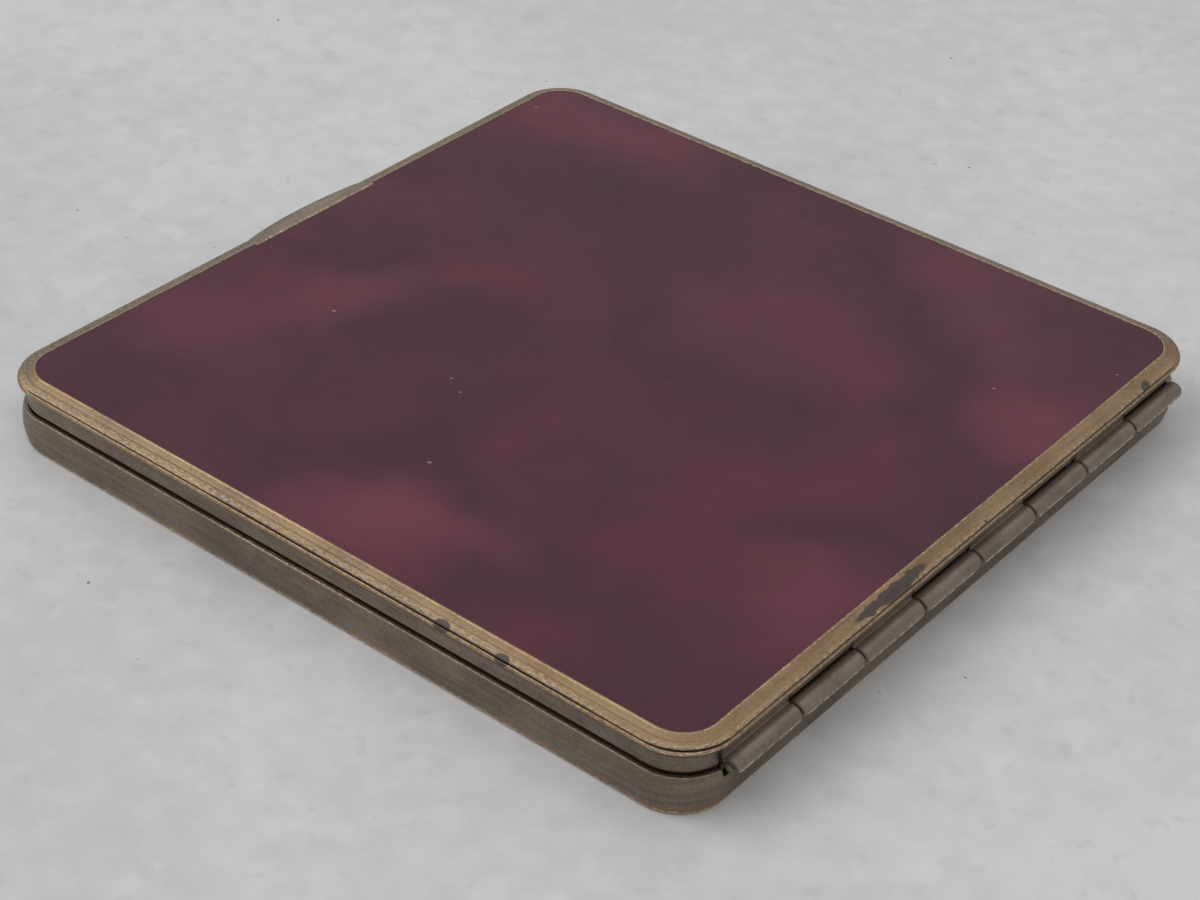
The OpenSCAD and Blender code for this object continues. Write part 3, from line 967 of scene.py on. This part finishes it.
def panel_look():
    """Cloudy plum enamel: dark and rose clouds under a soft gloss, fine scratches and dust."""
    look = Look("Marbled panel", Metallic=0.0, Specular_IOR_Level=0.22, Coat_Weight=0.05,
                Coat_Roughness=0.2)
    place = look.place()
    swirl = look.shaken(place, 0.06, 6.0, 3.0)
    cloud = look.noise(look.stretch(swirl, 0.06, 0.06, 0.0), 1.0, 3.0)
    plum, dark, rose = rgb(86, 39, 53), rgb(69, 34, 47), rgb(110, 55, 70)
    colour = look.mix(look.ramp(cloud, 0.35, 0.65), dark, plum)
    darker = [((-25, 17.5), (11, 9), 0), ((-6, 17.5), (12, 8), 20), ((13.5, 1), (10, 8), 0),
              ((-7, -8), (12, 7), 10), ((-31, -31), (12, 9), 0), ((33, 31), (10, 8), 0),
              ((32, -32), (9, 9), 0)]
    lighter = [((-25, -9), (7, 3.2), 62, 0.6), ((2, -31), (8, 4), 20, 0.75), ((34, 15.5), (5, 4), 0, 0.6),
               ((33, -17.5), (5, 6), 0, 0.5), ((-27, 33), (9, 5), 0, 0.5), ((20.5, 29), (12, 4), -38, 0.4),
               ((-31, -21), (6, 5), 0, 0.4), ((8, 14), (9, 7), 0, 0.25)]
    near = look.shaken(place, 0.12, 5.0, 4.0)
    for (x, y), (rx, ry), turn in darker:
        mark = look.spot(near, (x, y, PANEL_Z), (rx, ry, 30), 0.8, turn)
        colour = look.mix(look.maths("MULTIPLY", mark, 0.55), colour, dark)
    for (x, y), (rx, ry), turn, share in lighter:
        mark = look.spot(near, (x, y, PANEL_Z), (rx, ry, 30), 0.95, turn)
        colour = look.mix(look.maths("MULTIPLY", mark, share), colour, rose)
    dust = [(-35, 31, 0.1), (-23, -11.4, 0.13), (-8, -12.4, 0.1), (-6, -13.5, 0.1), (35, 28, 0.1),
            (28, 18.6, 0.1), (-1, -23, 0.13)]
    for x, y, size in dust:
        mark = look.spot(place, (x, y, PANEL_Z), (size * 1.5, size, 1), 0.3, 30)
        colour = look.mix(look.maths("MULTIPLY", mark, 0.45), colour, rgb(180, 150, 148))
    look.set("Base Color", colour)
    look.set("Roughness", look.ramp(look.noise(place, 0.5, 4.0), 0.3, 0.7, 0.3, 0.4))
    scratch = look.noise(look.stretch(place, 0.15, 7.0, 0.0), 1.0, 2.0)
    look.bump(scratch, 0.01, 0.2)
    return look.material


def mirror_look():
    look = Look("Silvered glass", Metallic=1.0, Coat_Weight=0.6, Coat_Roughness=0.02)
    place = look.place()
    age = look.ramp(look.noise(place, 0.35, 5.0, 0.8), 0.62, 0.75)
    look.set("Base Color", look.mix(age, rgb(226, 229, 228), rgb(170, 166, 156)))
    look.set("Roughness", look.ramp(age, 0.0, 1.0, 0.03, 0.2))
    return look.material


def steel_look():
    look = Look("Spring steel", Metallic=1.0)
    place = look.place()
    brushed = look.noise(look.stretch(place, 2.0, 0.3, 9.0), 1.0, 4.0)
    look.set("Base Color", look.mix(look.ramp(brushed, 0.35, 0.65), rgb(140, 136, 130), rgb(196, 193, 187)))
    look.set("Roughness", look.ramp(brushed, 0.3, 0.7, 0.25, 0.4))
    look.bump(brushed, 0.01, 0.5)
    return look.material


def fibre_look(name, light, dark, scale):
    """Card or felt: short fibres in two tones with a rough surface."""
    look = Look(name, Metallic=0.0, Roughness=0.9)
    place = look.place()
    fibre = look.noise(place, scale, 6.0, 1.5)
    look.set("Base Color", look.mix(look.ramp(fibre, 0.35, 0.65), dark, light))
    look.bump(fibre, 0.05, 0.6)
    return look.material


# ---------------------------------------------------------------- building the pieces

def recoat(node, material):
    mesh = frame["nodes"][node].data
    mesh.materials.clear()
    mesh.materials.append(material)


def metal_piece(mesh, body, slot, look, node, plating=0.0, wear_and_highlight=0.0, dirt_and_shade=0.0):
    """A brass piece. Its plating, its rubbed share with painted highlights and its dark share with painted
    shade are each a share from 0 to 1 or a rule for it.
    """
    for name, rule in (("plating", plating), ("wear_and_highlight", wear_and_highlight), ("dirt_and_shade", dirt_and_shade)):
        paint(mesh, name, rule if callable(rule) else lambda p, share=rule: share)
    return piece(mesh.name, mesh, body, slot, look, node)


metal_piece(sweep("bezel_band", bezel_section), "lid", "brass", bezel_brass, "bezel_frame",
            bezel_plating, bezel_wear_and_glint, bezel_dirt_and_shade)
metal_piece(sweep("lid_rim", neck_section), "lid", "aged_brass", case_brass, "lid_wall",
            wall_plating, wall_wear_and_glint, wall_dirt_and_shade)
metal_piece(lip_sheet(), "lid", "brass", hinge_brass, "thumb_lip", 0.25, lip_wear, lip_dark_edge)
metal_piece(lid_knuckles(), "lid", "aged_brass", hinge_brass, "hinge_leaf_lid", 0.0, knuckle_wear_and_highlight,
            knuckle_dirt_and_shade)
metal_piece(base_knuckles(), "base", "aged_brass", hinge_brass, "hinge_leaf_base", 0.0, knuckle_wear_and_highlight,
            knuckle_dirt_and_shade)
metal_piece(sweep("mirror_bezel", mirror_frame_section), "lid", "gilt", gilt, "mirror_frame", 1.0)
metal_piece(sweep("base_pan", base_section, caps=True), "base", "aged_brass", case_brass, "base_shell",
            base_plating, base_wear_and_highlight)
metal_piece(liner_mesh(), "base", "gilt", gilt, "base_liner", 1.0, 0.0, liner_gap_shade)
metal_piece(divider("divider_strip_long", -COLLAR_IN, COLLAR_IN, "Y"), "base", "gilt", gilt_strip,
            "divider_long", 1.0)
metal_piece(divider("divider_strip_short", high("divider_long").x, COLLAR_IN, "X"), "base", "gilt",
            gilt_strip, "divider_short", 1.0)
metal_piece(rivets_mesh(), "base", "brass", gilt_strip, "catch_rivets", 1.0)
metal_piece(wire_mesh(), "base", "spring_steel", hinge_brass, "hinge_pin", 0.0, 0.0, 0.4)

panel = sweep("marble_panel", panel_section, caps=True)
piece("marble_panel", panel, "lid", "marbled_panel", panel_look(), "lid_panel")
glass = sweep("mirror_glass", glass_section, caps=True)
piece("mirror_glass", glass, "lid", "mirror", mirror_look(), "mirror")
piece("spring_strip", spring_mesh(), "base", "spring_steel", steel_look(), "catch_spring")

recoat("lid_plate", hinge_brass)
recoat("panel_backing", fibre_look("Card", rgb(178, 162, 134), rgb(140, 124, 98), 2.0))
recoat("mirror_pad", fibre_look("Felt", rgb(70, 64, 60), rgb(40, 36, 34), 3.0))


# ---------------------------------------------------------------- floor, light and camera

def stage_floor():
    """Rough pale table top, three metres square."""
    half = 1.5
    mesh = bpy.data.meshes.new("floor")
    corners = [(-half, -half, 0), (half, -half, 0), (half, half, 0), (-half, half, 0)]
    mesh.from_pydata(corners, [], [(0, 1, 2, 3)])
    look = Look("Pale floor", Metallic=0.0, Roughness=0.75, Specular_IOR_Level=0.2)
    place = look.place()
    soft = look.blend_of((look.noise(place, 0.02, 4.0), 0.6), (look.noise(place, 0.3, 5.0), 0.4))
    colour = look.mix(look.ramp(soft, 0.35, 0.65), rgb(190, 190, 192), rgb(203, 203, 203))
    chip = look.ramp(look.noise(place, 0.4, 8.0, 0.4), 0.6, 0.68)
    colour = look.mix(look.maths("MULTIPLY", chip, 0.3), colour, rgb(178, 177, 176))
    pale = look.ramp(look.noise(look.stretch(place, 1.0, 0.7), 0.22, 9.0, 0.3), 0.6, 0.7)
    colour = look.mix(look.maths("MULTIPLY", pale, 0.3), colour, rgb(214, 214, 214))
    speck = look.ramp(look.noise(place, 0.5, 2.0), 0.75, 0.79)
    look.set("Base Color", look.mix(speck, colour, rgb(120, 118, 116)))
    look.bump(look.noise(place, 0.12, 6.0), 0.5, 0.3)
    mesh.materials.append(look.material)
    floor = bpy.data.objects.new("floor", mesh)
    bpy.context.scene.collection.objects.link(floor)


def soft_light(name, place, aim_at, size, power, colour):
    light = bpy.data.lights.new(name, "AREA")
    light.shape = "DISK"
    light.size = size
    light.energy = power
    light.color = colour
    lamp = bpy.data.objects.new(name, light)
    bpy.context.scene.collection.objects.link(lamp)
    lamp.location = place
    lamp.rotation_euler = (Vector(aim_at) - Vector(place)).to_track_quat("-Z", "Y").to_euler()


def room_light(horizon, zenith, strength):
    """Soft room: dim at the level of the table and brighter towards the ceiling."""
    world = bpy.data.worlds.new("Room")
    world.use_nodes = True
    tree = world.node_tree
    way = tree.nodes.new("ShaderNodeTexCoord")
    parts = tree.nodes.new("ShaderNodeSeparateXYZ")
    rise = tree.nodes.new("ShaderNodeMapRange")
    rise.interpolation_type = "SMOOTHSTEP"
    shade = tree.nodes.new("ShaderNodeMix")
    shade.data_type = "RGBA"
    shade.inputs[6].default_value = (*horizon, 1)
    shade.inputs[7].default_value = (*zenith, 1)
    back = tree.nodes["Background"]
    back.inputs["Strength"].default_value = strength
    tree.links.new(way.outputs["Generated"], parts.inputs[0])
    tree.links.new(parts.outputs["Z"], rise.inputs["Value"])
    tree.links.new(rise.outputs[0], shade.inputs["Factor"])
    tree.links.new(shade.outputs[2], back.inputs["Color"])
    bpy.context.scene.world = world


def camera_at(target, azimuth, elevation, roll, distance, lens):
    """Camera that looks along azimuth (0 is +Y) and down by elevation, in degrees and millimetres."""
    a, e, r = (math.radians(v) for v in (azimuth, elevation, roll))
    back = Vector((math.sin(a) * math.cos(e), -math.cos(a) * math.cos(e), math.sin(e)))
    level = Vector((math.cos(a), math.sin(a), 0))
    upright = back.cross(level)
    right = level * math.cos(r) + upright * math.sin(r)
    up = upright * math.cos(r) - level * math.sin(r)
    data = bpy.data.cameras.new("Camera")
    data.lens = lens
    data.sensor_width = 36
    data.clip_start = 0.005
    camera = bpy.data.objects.new("Camera", data)
    bpy.context.scene.collection.objects.link(camera)
    turn = Matrix((right, up, back)).transposed().to_4x4()
    camera.matrix_world = Matrix.Translation((Vector(target) + back * distance) * MM) @ turn
    bpy.context.scene.camera = camera


stage_floor()
soft_light("Window", (-1.4, -1.0, 1.7), (0, 0, 0), 1.5, 21.0, (1.0, 1.0, 1.0))
soft_light("Lamp", (0.95, -0.65, 1.5), (0, 0, 0), 0.3, 3.0, (1.0, 1.0, 1.0))
room_light((0.36, 0.36, 0.36), (1.0, 1.0, 1.0), 0.8)
camera_at((8.3, -12.034, 7.1), 37.228, 35.236, 3.026, 216.75, 77.6)
bpy.context.scene.view_settings.view_transform = "Standard"
